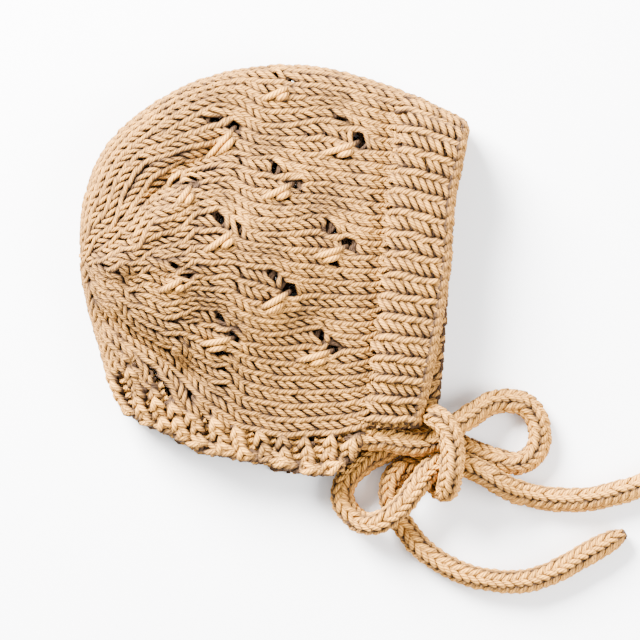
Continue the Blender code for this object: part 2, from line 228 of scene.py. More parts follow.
# Cord routes in metres
UPPER_TIE = (
    (0.0390, -0.0690, 0.0136),
    (0.0455, -0.0692, 0.0136),
    (0.0525, -0.0708, 0.0136),
    (0.0590, -0.0712, 0.0136),
    (0.0644, -0.0700, 0.0136),
    (0.0686, -0.0658, 0.0136),
    (0.0728, -0.0634, 0.0126),
    (0.0796, -0.0594, 0.0094),
    (0.0868, -0.0551, 0.0058),
    (0.0940, -0.0538, 0.0045),
    (0.1006, -0.0552, 0.0045),
    (0.1056, -0.0610, 0.0045),
    (0.1068, -0.0686, 0.0045),
    (0.1046, -0.0750, 0.0045),
    (0.0992, -0.0788, 0.0045),
    (0.0920, -0.0784, 0.0045),
    (0.0840, -0.0758, 0.0045),
    (0.0764, -0.0726, 0.0045),
    (0.0700, -0.0698, 0.0045),
    (0.0620, -0.0690, 0.0045),
    (0.0545, -0.0692, 0.0045),
    (0.0488, -0.0712, 0.0045),
    (0.0436, -0.0746, 0.0045),
    (0.0372, -0.0780, 0.0045),
    (0.0312, -0.0832, 0.0045),
    (0.0276, -0.0884, 0.0045),
    (0.0276, -0.0946, 0.0048),
    (0.0312, -0.1000, 0.0064),
    (0.0366, -0.1030, 0.0100),
    (0.0424, -0.1022, 0.0134),
    (0.0476, -0.0990, 0.0140),
    (0.0528, -0.0938, 0.0140),
    (0.0586, -0.0858, 0.0138),
    (0.0646, -0.0798, 0.0136),
    (0.0716, -0.0780, 0.0136),
    (0.0784, -0.0800, 0.0138),
    (0.0846, -0.0832, 0.0138),
    (0.0904, -0.0870, 0.0120),
    (0.0962, -0.0900, 0.0080),
    (0.1030, -0.0920, 0.0050),
    (0.1110, -0.0934, 0.0045),
    (0.1188, -0.0938, 0.0045),
    (0.1264, -0.0934, 0.0045),
    (0.1340, -0.0920, 0.0045),
    (0.1464, -0.0884, 0.0045),
    (0.1580, -0.0836, 0.0045),
    (0.1690, -0.0776, 0.0045),
)
LOWER_TIE = (
    (0.0610, -0.0590, 0.0200),
    (0.0655, -0.0606, 0.0222),
    (0.0692, -0.0650, 0.0230),
    (0.0710, -0.0706, 0.0231),
    (0.0712, -0.0774, 0.0231),
    (0.0706, -0.0838, 0.0215),
    (0.0698, -0.0882, 0.0172),
    (0.0684, -0.0898, 0.0120),
    (0.0662, -0.0882, 0.0068),
    (0.0632, -0.0846, 0.0046),
    (0.0600, -0.0802, 0.0045),
    (0.0556, -0.0796, 0.0045),
    (0.0512, -0.0812, 0.0045),
    (0.0478, -0.0852, 0.0045),
    (0.0464, -0.0910, 0.0045),
    (0.0478, -0.0974, 0.0045),
    (0.0520, -0.1040, 0.0045),
    (0.0578, -0.1116, 0.0045),
    (0.0660, -0.1182, 0.0045),
    (0.0764, -0.1234, 0.0045),
    (0.0884, -0.1262, 0.0045),
    (0.1016, -0.1262, 0.0045),
    (0.1144, -0.1218, 0.0045),
    (0.1248, -0.1160, 0.0045),
    (0.1330, -0.1114, 0.0045),
    (0.1398, -0.1078, 0.0045),
)

# Wool seen close: plies in a yarn, millimetres in which they wind once, height of their relief, width of a tuft of
# fibre, and the millimetres above the cloth's middle at which the painted shade is darkest and gone
PLIES = 5
PLY_TURN = 8.0
PLY_RELIEF = 0.00036
TUFT = 0.0008
PAINTED_SHADE_DARKEST_LIFT = 0.85
PAINTED_SHADE_GONE_LIFT = 2.55

# Lift added to yarn whose painted shade would otherwise be too dark
BRIM_PURL_SHADE_LIFT = 0.0008
NECK_PURL_SHADE_LIFT = 0.0007
TIE_SHADE_LIFT = 0.0006

# One stitch of each kind: row heights along, stitch widths across, depths outward, thickness, from sinker to sinker
PLAIN = (
    (-1.10, -0.50, -1.20, 0.75),
    (-1.05, -0.15, -1.00, 0.80),
    (-0.72, 0.12, -0.20, 0.82),
    (-0.30, -0.04, 0.75, 0.98),
    (0.18, -0.22, 1.00, 1.06),
    (0.60, -0.38, 0.55, 0.94),
    (0.95, -0.47, -0.45, 0.78),
    (1.15, -0.28, -1.20, 0.75),
    (1.15, 0.08, -1.20, 0.75),
    (1.02, 0.34, -0.50, 0.90),
    (0.65, 0.40, 0.35, 1.05),
    (0.10, 0.35, 0.75, 1.12),
    (-0.45, 0.27, 0.65, 1.10),
    (-0.90, 0.22, -0.05, 0.95),
    (-1.15, 0.32, -0.90, 0.80),
    (-1.10, 0.50, -1.20, 0.75),
)
PURL = (
    (-1.00, -0.50, 0.90, 1.00),
    (-0.95, -0.10, 0.60, 0.95),
    (-0.60, 0.10, -0.60, 0.85),
    (0.30, -0.20, -1.00, 0.85),
    (0.90, -0.36, 0.20, 0.95),
    (1.10, 0.00, 1.00, 1.05),
    (0.90, 0.36, 0.20, 0.95),
    (0.30, 0.20, -1.00, 0.85),
    (-0.60, -0.02, -0.60, 0.85),
    (-0.95, 0.20, 0.60, 0.95),
    (-1.00, 0.50, 0.90, 1.00),
)
ROUND = (
    (-0.95, -0.50, -1.10, 0.75),
    (-0.85, -0.08, -0.60, 0.82),
    (-0.55, -0.01, 0.40, 0.95),
    (0.05, -0.20, 1.00, 1.10),
    (0.60, -0.42, 0.55, 1.00),
    (0.95, -0.42, -0.50, 0.80),
    (1.10, 0.00, -1.30, 0.75),
    (0.95, 0.42, -0.50, 0.80),
    (0.60, 0.42, 0.55, 1.00),
    (0.05, 0.20, 1.00, 1.10),
    (-0.55, 0.01, 0.40, 0.95),
    (-0.85, 0.08, -0.60, 0.82),
    (-0.95, 0.50, -1.10, 0.75),
)


def linear(code):
    """Linear red, green and blue of an sRGB hex value."""
    c = np.array([int(code[i : i + 2], 16) for i in (1, 3, 5)]) / 255.0
    return tuple(float(v) for v in np.where(c <= 0.04045, c / 12.92, ((c + 0.055) / 1.055) ** 2.4))


# Properties


class BonnetSizes(bpy.types.PropertyGroup):
    """Gauge of the knitting."""

    wale: FloatProperty(
        name="Stitch width", description="Width of one stitch", default=0.0059, unit="LENGTH"
    )
    row: FloatProperty(
        name="Row height", description="Length of one row", default=0.0037, unit="LENGTH"
    )
    yarn: FloatProperty(
        name="Yarn radius", description="Radius of the yarn in the sides", default=0.00103, unit="LENGTH"
    )
    rib_row: FloatProperty(
        name="Rib row", description="Length of one row in the brim", default=0.0031, unit="LENGTH"
    )
    seed: IntProperty(name="Seed", description="Seed of the small unevenness", default=7)


class BonnetColours(bpy.types.PropertyGroup):
    """Colours of the wool and of the surface."""

    wool: FloatVectorProperty(
        name="Wool", description="Colour of the wool", default=linear("#D19441"), subtype="COLOR", size=3
    )
    # Painted shade in the grooves between the plies; also the darker end of the fibre mottle and the stitch-to-stitch
    # tone
    deep: FloatVectorProperty(
        name="Plies", description="Colour between the plies", default=linear("#6B4928"), subtype="COLOR", size=3
    )
    # Painted shade: the colour laid on yarn that lies low between stitches, where shade falls
    painted_crease_shade: FloatVectorProperty(
        name="Painted crease shade", description="Colour between stitches", default=linear("#38281C"), subtype="COLOR", size=3
    )
    floor: FloatVectorProperty(
        name="Surface", description="Colour of the surface", default=linear("#F5F5F6"), subtype="COLOR", size=3
    )


# Curves and surfaces


def plan(shares):
    """Shares of length and height to metres, about the middle of the outline."""
    return (np.asarray(shares, float) - 0.5) * [LENGTH, HEIGHT]


def through(points, at):
    """Cubic pieces joined smoothly through the points; at runs from 0 to 1 by the straight distance between them."""
    points = np.asarray(points, float)
    step = np.linalg.norm(np.diff(points, axis=0), axis=1)
    knots = np.concatenate([[0.0], np.cumsum(step)])
    return smooth(knots, points, np.clip(np.asarray(at, float), 0.0, 1.0) * knots[-1])


def smooth(knots, points, t):
    """Cubic pieces joined smoothly through the points that stand at the knots."""
    slopes = np.gradient(points, knots, axis=0)
    i = np.clip(np.searchsorted(knots, t, side="right") - 1, 0, len(points) - 2)
    h = (knots[i + 1] - knots[i])[:, None]
    s = ((t - knots[i])[:, None]) / h
    return (
        (2 * s**3 - 3 * s**2 + 1) * points[i]
        + (s**3 - 2 * s**2 + s) * h * slopes[i]
        + (3 * s**2 - 2 * s**3) * points[i + 1]
        + (s**3 - s**2) * h * slopes[i + 1]
    )


def stretch(edge, first, last, at):
    """The smooth curve through an edge's table, from one of its rows to another as at runs from 0 to 1."""
    points = plan(edge)
    knots = np.concatenate([[0.0], np.cumsum(np.linalg.norm(np.diff(points, axis=0), axis=1))])
    return smooth(knots, points, knots[first] + at * (knots[last] - knots[first]))


def fold_line():
    """The fold all round, from the neck's back end over the back point and the top to the face."""
    back = through(plan(BACK_EDGE), np.linspace(1.0, 0.0, 120))
    top = through(plan(TOP_EDGE), np.linspace(0.0, 1.0, 400))
    return np.vstack([back[:-1], top])


def from_fold(points):
    """Distance of each point in from the nearest fold line, and the way inward there."""
    line = fold_line()
    along = np.gradient(line, axis=0)
    along /= np.linalg.norm(along, axis=1)[:, None]
    inward = np.stack([along[:, 1], -along[:, 0]], axis=1)
    gaps = points[:, None, :] - line[None, :, :]
    nearest = np.argmin((gaps**2).sum(2), axis=1)
    away = ((points - line[nearest]) * inward[nearest]).sum(1)
    return np.maximum(away, 0.0), inward[nearest]


def swell(points):
    """Sum of rounded hills, each falling off as a bell with the distance from its line."""
    total = np.zeros(len(points))
    for _, x0, y0, x1, y1, lift, width in SWELLS:
        a, b = plan([(x0, y0), (x1, y1)])
        span = b - a
        t = np.clip(((points - a) @ span) / (span @ span), 0.0, 1.0)
        off = np.linalg.norm(points - a - t[:, None] * span, axis=1)
        total += lift * CROWN_HEIGHT * np.exp(-((off / (width * LENGTH)) ** 2))
    return total


def lay(points, upper, depth, lift):
    """Plan points laid on one layer: a quarter ellipse up from the fold, then the swelling height, moved in by
    depth."""
    flat = points.reshape(-1, 2)
    away, inward = from_fold(flat)
    lean = 1.0 - np.minimum(away / FOLD_REACH, 1.0)
    rise = np.sqrt(1.0 - lean**2)
    if upper:
        z = FOLD_RISE + (CROWN_HEIGHT + swell(flat) + lift - FOLD_RISE) * rise - depth * rise
    else:
        z = FOLD_RISE * (1.0 - rise) + depth * rise
    moved = flat + inward * (depth * lean)[:, None]
    return np.column_stack([moved, z]).reshape(*points.shape[:-1], 3)


def coons(near, far, first, last, across, deep):
    """Plan points of a patch between four edges: near and far run across, first and last run deep."""
    u = across[None, :, None]
    v = deep[:, None, None]
    corners = (
        (1 - u) * (1 - v) * near[0] + u * (1 - v) * near[-1] + (1 - u) * v * far[0] + u * v * far[-1]
    )
    sides = (1 - u) * first[:, None, :] + u * last[:, None, :]
    return (1 - v) * near[None] + v * far[None] + sides - corners


def even(grid, count):
    """The rows of a grid sampled again, evenly by the length of their first three values; also each row's length."""
    made = np.zeros((len(grid), count, grid.shape[2]))
    lengths = np.zeros(len(grid))
    share = np.linspace(0.0, 1.0, count)
    for r, row in enumerate(grid):
        run = np.concatenate([[0.0], np.cumsum(np.linalg.norm(np.diff(row[:, :3], axis=0), axis=1))])
        lengths[r] = run[-1]
        at = share * max(run[-1], 1e-9)
        for k in range(grid.shape[2]):
            made[r, :, k] = np.interp(at, run, row[:, k])
    return made, lengths


def sample(grid, row, column):
    """Values of a grid at fractional rows and columns, straight between its points."""
    r = np.clip(row, 0, grid.shape[0] - 1.001)
    c = np.clip(column, 0, grid.shape[1] - 1.001)
    i, j = r.astype(int), c.astype(int)
    a, b = (r - i)[..., None], (c - j)[..., None]
    return (1 - a) * ((1 - b) * grid[i, j] + b * grid[i, j + 1]) + a * (
        (1 - b) * grid[i + 1, j] + b * grid[i + 1, j + 1]
    )


def unit(v):
    """Vectors made one long."""
    return v / np.maximum(np.linalg.norm(v, axis=-1, keepdims=True), 1e-12)


# Yarn


def relax(line, passes):
    """Lines of points drawn toward the middle of their neighbours, their ends kept."""
    line = line.copy()
    for _ in range(passes):
        line[..., 1:-1, :] = 0.25 * line[..., :-2, :] + 0.5 * line[..., 1:-1, :] + 0.25 * line[..., 2:, :]
    return line


def wale(line, side, wide, outward):
    """One column of stitches: centre line, across direction, width and outward direction by length along it. The
    outward direction is made square to the line, and across is square to both."""
    step = np.linalg.norm(np.diff(line, axis=0), axis=1)
    run = np.concatenate([[0.0], np.cumsum(step)])
    along = unit(np.gradient(line, axis=0))
    out = unit(outward - (outward * along).sum(1)[:, None] * along)
    across = unit(np.cross(out, along))
    across *= np.sign((across * side).sum(1))[:, None]
    return {"run": run, "line": line, "across": across, "out": out, "wide": np.asarray(wide, float)}


def at_run(column, where):
    """Centre, across, outward and width of a column at lengths along it, carried straight on past its ends."""
    run = column["run"]
    held = np.clip(where, run[0], run[-1])
    past = where - held
    values = []
    for key in ("line", "across", "out"):
        data = column[key]
        values.append(np.stack([np.interp(held, run, data[:, k]) for k in range(3)], axis=-1))
    first = unit(column["line"][1] - column["line"][0])
    final = unit(column["line"][-1] - column["line"][-2])
    carry = np.where(past[..., None] < 0, first, final) * past[..., None]
    values[0] = values[0] + carry
    return values[0], unit(values[1]), unit(values[2]), np.interp(held, run, column["wide"])


def loop_shape(table, samples):
    """A stitch's loop at evenly spaced samples of the smooth curve through its table."""
    weight = np.array([1.0, 1.5, 0.7, 0.1])
    return through(np.array(table) * weight, np.linspace(0.0, 1.0, samples)) / weight


def stitches(columns, row, yarn, reach, table, samples, rng):
    """Yarn points of every stitch in the columns: the loop of the table, its rows in row heights along, stitch widths
    across and depths outward, set at each stitch's place and made a little uneven. Also outward directions, radii and
    the points of the cloth under them."""
    shape = loop_shape(table, samples)
    made = ([], [], [], [])
    for column in columns:
        length = column["run"][-1]
        count = max(1, int(round(length / row)))
        pitch = length / count
        centre = (np.arange(count) + 0.5) * pitch + rng.normal(0, 0.06 * pitch, count)
        size = 1.0 + rng.normal(0, 0.045, (count, 1))
        where = centre[:, None] + shape[:, 0] * pitch * size
        place, across, out, width = at_run(column, where)
        lift = shape[:, 2] * reach * (1.0 + rng.normal(0, 0.10, (count, 1))) + rng.normal(0, 0.00008, (count, 1))
        turn = (shape[:, 1] + rng.normal(0, 0.03, (count, 1))) * width * size
        thick = yarn * shape[:, 3] * (1.0 + rng.normal(0, 0.03, (count, 1)))
        thick = thick * np.clip(width / np.median(column["wide"]), 0.75, 1.08)
        path = place + across * turn[..., None] + out * lift[..., None]
        for part, values in zip(made, (path, out, thick, place)):
            part.append(values)
    return [np.concatenate(part) for part in made]


def tubes(made, around, rng, faces=1):
    """Vertices, quads, corner uv, tone and lift of a tube about each row of points: rings square to the path, uv is
    length along the yarn in millimetres and share of the way round, lift is millimetres out from the cloth's middle,
    the same on both faces where faces is 2. Yarn is pressed flat where it meets the surface below."""
    points, outs, radii, base = made
    count, samples = points.shape[:2]
    along = unit(np.gradient(points, axis=1))
    a = unit(np.cross(along, outs))
    b = np.cross(a, along)
    turn = np.arange(around) / around * 2 * math.pi
    ring = a[:, :, None] * np.cos(turn)[:, None] + b[:, :, None] * np.sin(turn)[:, None]
    verts = points[:, :, None] + ring * radii[:, :, None, None]
    verts[..., 2] = np.maximum(verts[..., 2], 0.0)
    index = np.arange(count * samples * around).reshape(count, samples, around)
    near, far = index[:, :-1], index[:, 1:]
    quads = np.stack([near, far, np.roll(far, -1, axis=2), np.roll(near, -1, axis=2)], axis=-1)
    step = np.linalg.norm(np.diff(points, axis=1), axis=2)
    run = np.concatenate([np.zeros((count, 1)), np.cumsum(step, axis=1)], axis=1) / MM
    u = np.repeat(run[:, :, None], around + 1, axis=2)
    v = np.broadcast_to(np.arange(around + 1) / around, u.shape)
    corner = np.stack([u, v], axis=-1)
    uv = np.stack(
        [corner[:, :-1, :-1], corner[:, 1:, :-1], corner[:, 1:, 1:], corner[:, :-1, 1:]], axis=3
    )
    tone = np.repeat(rng.random(count), samples * around)
    # lift sets where the material paints shade: yarn low at the cloth's middle is painted dark
    lift = ((verts - base[:, :, None]) * outs[:, :, None]).sum(-1) / MM
    lift = np.abs(lift) if faces == 2 else lift
    return verts.reshape(-1, 3), quads.reshape(-1, 4), uv.reshape(-1, 2), tone, lift.ravel()


def with_lighter_painted_shade(made, amount):
    """The same yarn with the cloth under it taken to lie deeper by that amount, so that its lift is greater and its
    painted shade lighter.
    """
    return [*made[:3], made[3] - amount * made[1]]


def joined(parts):
    """Several sets of vertices, quads, uv, tone and lift as one."""
    starts = np.cumsum([0] + [len(part[0]) for part in parts])
    quads = np.concatenate([part[1] + start for part, start in zip(parts, starts)])
    verts, _, uv, tone, lift = (np.concatenate(values) for values in zip(*parts))
    return verts, quads, uv, tone, lift


def knit_object(name, made, wool, *nodes):
    """A smooth mesh object of the yarn that stands for the CAD nodes."""
    verts, quads, uv, tone, lift = made
    mesh = bpy.data.meshes.new(name)
    mesh.vertices.add(len(verts))
    mesh.vertices.foreach_set("co", verts.astype(np.float32).ravel())
    mesh.loops.add(len(quads) * 4)
    mesh.loops.foreach_set("vertex_index", quads.astype(np.int32).ravel())
    mesh.polygons.add(len(quads))
    mesh.polygons.foreach_set("loop_start", (np.arange(len(quads)) * 4).astype(np.int32))
    mesh.polygons.foreach_set("use_smooth", np.ones(len(quads), bool))
    layer = mesh.uv_layers.new(name="yarn")
    layer.data.foreach_set("uv", uv.astype(np.float32).ravel())
    # lift goes to the material as the mask of its painted shade
    for label, values in (("tone", tone), ("lift", lift)):
        data = mesh.attributes.new(label, "FLOAT", "POINT").data
        data.foreach_set("value", values.astype(np.float32))
    mesh.update(calc_edges=True)
    mesh.materials.append(wool)
    item = bpy.data.objects.new(name, mesh)
    bpy.context.scene.collection.objects.link(item)
    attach(item, "root")
    if nodes:
        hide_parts(*nodes)
    return item


# Crown and sides


def side_grids(upper, depth):
    """Grids of points over the sides and over the closed back of one layer, the neck's share of a round, each round's
    length, how near together the wales come and the run across the first round. The back's rounds are measured square
    to the wales, as stitches are wide."""
    u = 0.5 - 0.5 * np.cos(np.linspace(0.0, math.pi, 170))
    u = 0.6 * u + 0.4 * np.linspace(0.0, 1.0, 170)
    v = np.linspace(0.0, 1.0, 60)
    crown = lay(back_plan(np.linspace(0.0, 1.0, 240), v), upper, depth, 0.0)
    corner = plan([CAST_ON[CAST_ON_NECK]])[0]
    front = through(plan(BRIM_EDGE), u)
    rear = through(plan(CAST_ON[: CAST_ON_NECK + 1]), u)
    over = stretch(TOP_EDGE, 5, 8, 1.0 - v)
    under = through(plan(NECK_LINE[: NECK_LINE_BACK + 1]), v)
    over[0], over[-1] = front[0], rear[0]
    under[0], under[-1] = front[-1], rear[-1]
    sides = lay(coons(front, rear, over, under, u, v), upper, depth, 0.0)
    side_even, _ = even(sides, 240)
    edge = int(np.argmin(np.linalg.norm(crown[0, :, :2] - corner, axis=1)))
    across = np.gradient(crown, axis=1)
    apart = np.linalg.norm(np.cross(across, unit(np.gradient(crown, axis=0))), axis=2)
    apart[0, :edge] = np.linalg.norm(across[0, :edge], axis=1)
    apart = relax(relax(apart, 12).T, 100).T
    run = np.cumsum(np.pad(0.5 * (apart[:, 1:] + apart[:, :-1]), ((0, 0), (1, 0))), axis=1)
    share = np.linspace(0.0, 1.0, 240)
    spread = [[np.interp(share * r[-1], r, row[:, k]) for k in range(3)] for r, row in zip(run, crown)]
    close = np.minimum.accumulate(apart / apart[0], axis=0)
    return side_even, np.array(spread).transpose(0, 2, 1), run[0, edge] / run[0, -1], run[:, -1], close, run[0]


def back_plan(u, v):
    """Plan points of the closed back: rounds through the measured wales, u across and v on to the back point, drawn
    on to the folds at both sides by a power of u."""
    rows = np.array([0.0, 0.25, 0.5, 0.75, 1.0])
    tip = np.repeat(plan([TOP_EDGE[0]]), len(u), axis=0)
    top, back = stretch(TOP_EDGE, 0, 5, 1.0 - rows), stretch(BACK_EDGE, 0, 3, 1.0 - rows)
    table = np.array(BACK_WALES)
    knots = np.concatenate([[0.0], table[:, 0], [1.0]])
    rounds = [through(plan(CAST_ON), u)]
    for k in (1, 2, 3):
        places = np.vstack([top[k], plan(table[:, 2 * k - 1 : 2 * k + 1]), back[k]])
        rounds.append(smooth(knots, places, u))
    flat = np.array([*rounds, tip]).reshape(5, -1)
    grid = smooth(rows, flat, v).reshape(len(v), len(u), 2)
    top, back = stretch(TOP_EDGE, 0, 5, 1.0 - v), stretch(BACK_EDGE, 0, 3, 1.0 - v)
    share = u[None, :, None]
    drawn = (1.0 - share) ** 8 * (top - grid[:, 0])[:, None] + share**8 * (back - grid[:, -1])[:, None]
    return grid + drawn


def golden_order(count):
    """Numbers 0 to count - 1 in an order that spreads them evenly."""
    return np.argsort(np.argsort((np.arange(count) * 0.6180339887 + 0.31) % 1.0))


def crown_shares(count, close):
    """Middle and width of each column across the closed back at each depth, as shares: close is how near together the
    wales have come, a column is decreased where that falls under its own limit, its weight goes to nothing there, and
    the columns share the round in proportion."""
    gone = 0.90 * (golden_order(count) + 0.5) / count
    t = np.clip((close - gone[:, None] + 0.045) / 0.09, 0.0, 1.0)
    weight = t * t * (3 - 2 * t) + 1e-6
    total = weight.sum(0)
    ends = np.cumsum(weight, axis=0)
    return (ends - weight / 2) / total, weight / total, weight


def crown_columns(upper, depth, sizes):
    """The columns of stitches of one layer, from the brim or the neck line to the back point."""
    sides, crown, neck, lengths, close, run = side_grids(upper, depth)
    count = int(round(lengths[0] / sizes.wale))
    deep = np.linspace(0.0, 0.985, 150)
    first = np.interp((np.arange(count) + 0.5) / count * run[-1], run, np.arange(240.0))
    rows, cols = np.meshgrid(deep * (len(close) - 1), first)
    middle, share, weight = crown_shares(count, sample(close[..., None], rows, cols)[..., 0])
    faces = []
    for grid in (crown, sides):
        along, aside = np.gradient(grid, axis=0), np.gradient(grid, axis=1)
        faces.append((grid, unit(aside), unit(np.cross(along, aside)) * (1.0 if upper else -1.0)))
    made = []
    for i in range(count):
        alive = weight[i] > 0.30
        last = max(int(np.argmin(alive)) if not alive.all() else len(deep), 6)
        rows = deep[:last] * (crown.shape[0] - 1)
        cols = middle[i, :last] * (crown.shape[1] - 1)
        line, side, out = (sample(values, rows, cols) for values in faces[0])
        wide = share[i, :last] * np.interp(deep[:last], np.linspace(0, 1, len(lengths)), lengths)
        if middle[i, 0] < neck:
            rows = np.linspace(0.0, 1.0, 70)[:-1] * (sides.shape[0] - 1)
            cols = np.full(69, middle[i, 0] / neck * (sides.shape[1] - 1))
            front = (sample(values, rows, cols) for values in faces[1])
            line, side, out = (np.vstack(pair) for pair in zip(front, (line, side, out)))
            wide = np.concatenate([np.full(69, wide[0]), wide])
        if upper:
            aside = np.array([0.0, 0.5 * MM, 0.0])  # the lace spreads and squeezes stitches as it shifts them
            wide = wide * (1.0 + (sway(line + aside) - sway(line - aside)) / MM)
            line[:, 1] += sway(line)
        line = np.hstack([relax(line[:, :2], 40), relax(line[:, 2:], 6)])
        out = unit(relax(out, 20))
        made.append(wale(line, side, wide, out))
    return made


def eyelets():
    """Plan centres and radii of all the eyelets, each three set as an arrowhead."""
    holes = []
    for x, y, heading, size in EYELET_GROUPS:
        place = plan([(x, y)])[0]
        turn = math.radians(heading)
        ahead = np.array([math.cos(turn), math.sin(turn)])
        aside = np.array([-ahead[1], ahead[0]])
        holes.append((*place, POINT_RADIUS * size))
        for way in (-1.0, 1.0):
            centre = place - ahead * ARROW_BACK * size + aside * way * ARROW_HALF * size
            holes.append((*centre, WING_RADIUS * size))
    return np.array(holes)


def sway(line):
    """Shift toward the top that the lace gives the columns: it grows over three arrow arms and is gone by the arrow's
    point, and falls off as a bell to either side."""
    away, _ = from_fold(line[:, :2])
    shift = np.zeros(len(line))
    for x, y, _, size in EYELET_GROUPS:
        gap = (line[:, :2] - plan([(x, y)])[0]) / (ARROW_BACK * size)
        t = np.where(gap[:, 0] < -1.2, (gap[:, 0] + 4.4) / 3.2, (0.1 - gap[:, 0]) / 1.3)
        t = np.clip(t, 0.0, 1.0)
        shift += LACE_SWAY * size * t * t * (3 - 2 * t) * np.exp(-(((gap[:, 1] - 0.9) / 1.3) ** 2))
    return shift * np.clip(away / FOLD_REACH, 0.0, 1.0)


def open_eyelets(points, yarn):
    """Yarn pushed out from each eyelet: a point at distance d goes to sqrt(d^2 + r^2 exp(-(d/s)^2))."""
    moved = points.copy()
    holes = eyelets()
    depths = np.clip(from_fold(holes[:, :2])[0] / FOLD_REACH, 0.6, 1.0)
    for (x, y, radius), depth in zip(holes, depths):
        reach = (radius + 0.6 * yarn) * depth
        gap = moved[..., :2] - [x, y]
        far = np.linalg.norm(gap, axis=-1)
        new = np.sqrt(far**2 + reach**2 * np.exp(-((far / (2.2 * reach)) ** 2)))
        moved[..., :2] = [x, y] + gap * (new / np.maximum(far, 1e-5))[..., None]
    return moved


def strands(sizes, rng):
    """Decreased stitches that slant back and down from each arrow's point: short plump arched strands, their height a
    power of a half sine along them, two side by side."""
    t = np.linspace(0.0, 1.0, 15)
    arch = np.sin(math.pi * t) ** 0.6
    made = ([], [], [], [])
    for x, y, heading, size in EYELET_GROUPS:
        turn = math.radians(heading + 203.0 + rng.normal(0, 6.0))
        ahead = np.array([math.cos(turn), math.sin(turn)])
        aside = np.array([-ahead[1], ahead[0]])
        for first, long, off in STRANDS:
            run = (first + t * long * size * (1.0 + rng.normal(0, 0.15)))[:, None]
            flat = plan([(x, y)]) + ahead * run + aside * (off + 0.0006 * arch)[:, None]
            base = lay(flat[None], True, CROWN_SEAT, 0.0)[0]
            out = np.tile([0.0, 0.0, 1.0], (len(t), 1))
            path = base + out * (0.0038 * arch - 0.0014)[:, None]
            under = base + out * (0.0008 * arch)[:, None]
            for part, values in zip(made, (path, out, sizes.yarn * (0.95 + 0.40 * arch), under)):
                part.append(values)
    return [np.array(part) for part in made]


def knit_crown(sizes, wool):
    """The upper and lower layers of the crown and sides."""
    for name, upper, samples, around in (("crown_upper", True, 17, 6), ("crown_lower", False, 13, 5)):
        rng = np.random.default_rng(sizes.seed + upper)
        columns = crown_columns(upper, CROWN_SEAT, sizes)
        made = stitches(columns, sizes.row, sizes.yarn, CROWN_REACH, PLAIN, samples, rng)
        made[0] = open_eyelets(made[0], sizes.yarn)
        parts = [tubes(made, around, rng)]
        if upper:
            parts.append(tubes(strands(sizes, rng), 7, rng))
        nodes = ("crown_shell",) if upper else ()
        item = knit_object(name, joined(parts), wool, *nodes)


# Brim


def brim_columns(upper):
    """Rib columns of one layer of the brim: from its back edge out to the face, round the rim and back inside."""
    u = np.linspace(0.0, 1.0, 150) ** 1.3
    v = np.linspace(0.0, 1.0, 24)
    near = through(plan(FACE_EDGE), u)
    far = through(plan(BRIM_EDGE), u)
    top = stretch(TOP_EDGE, 8, 10, 1.0 - v)
    top[0], top[-1] = near[0], far[0]
    foot = near[-1] + (far[-1] - near[-1]) * v[:, None]
    points = coons(near, far, top, foot, u, v)
    if not upper:
        shares = np.array(LOWER_FACE_LEAD)
        lead = np.interp(u, shares[:, 0], shares[:, 1]) * LENGTH
        points[:, :, 0] += (1.0 - v)[:, None] * lead
    both = [lay(points, upper, depth, BRIM_LIFT) for depth in (BRIM_SEAT, BRIM_WALL - BRIM_SEAT)]
    both, lengths = even(np.concatenate(both, axis=2), 200)
    skin, lining = both[..., :3], both[..., 3:]
    made = []
    for i in range(BRIM_RIBS):
        for kind, offset in (("knit", 0.25), ("purl", 0.75)):
            column = np.full(24, (i + offset) / BRIM_RIBS * 199.0)
            rows = np.linspace(0.0, 23.0, 24)
            outer = sample(skin, rows, column)
            inner = sample(lining, rows, column)
            side = sample(np.gradient(skin, axis=1), rows, column)
            made.append((kind, rim_wrapped(outer, inner, side)))
    return made, lengths.mean() / BRIM_RIBS


def rim_wrapped(outer, inner, side):
    """A line that follows inner out to the rim, turns round it and follows outer back, with its side and outward
    directions, and the place and outward direction of the rim's upper edge."""
    ahead = unit(outer[0] - outer[2])
    out = unit(outer[0] - inner[0])
    radius = 0.5 * np.linalg.norm(outer[0] - inner[0])
    centre = 0.5 * (outer[0] + inner[0]) - ahead * (radius + 0.0014)
    beta = np.linspace(-0.5 * math.pi, 0.5 * math.pi, 9)[1:-1]
    arc_out = out * np.sin(beta)[:, None] + ahead * np.cos(beta)[:, None]
    arc = centre + radius * arc_out
    keep = ((outer - centre) @ ahead) < -0.0002
    back = outer[keep]
    front = inner[keep][::-1]
    line = np.vstack([front, arc, back])
    outward = np.vstack([np.tile(-out, (len(front), 1)), arc_out, np.tile(out, (len(back), 1))])
    sides = np.tile(side.mean(0), (len(line), 1))
    return relax(line, 3), sides, unit(relax(outward, 2)), (arc[5], arc_out[5])


def edge_chain(edge, row, rng):
    """A chain of stitches along an edge, whose places and outward directions come in order."""
    line, out = (np.array(values) for values in zip(*edge))
    side = unit(np.cross(out, np.gradient(line, axis=0)))
    chain = wale(line, side, np.full(len(line), EDGE_WIDTH), out)
    return stitches([chain], row, *EDGE_CHAIN, ROUND, 13, rng)


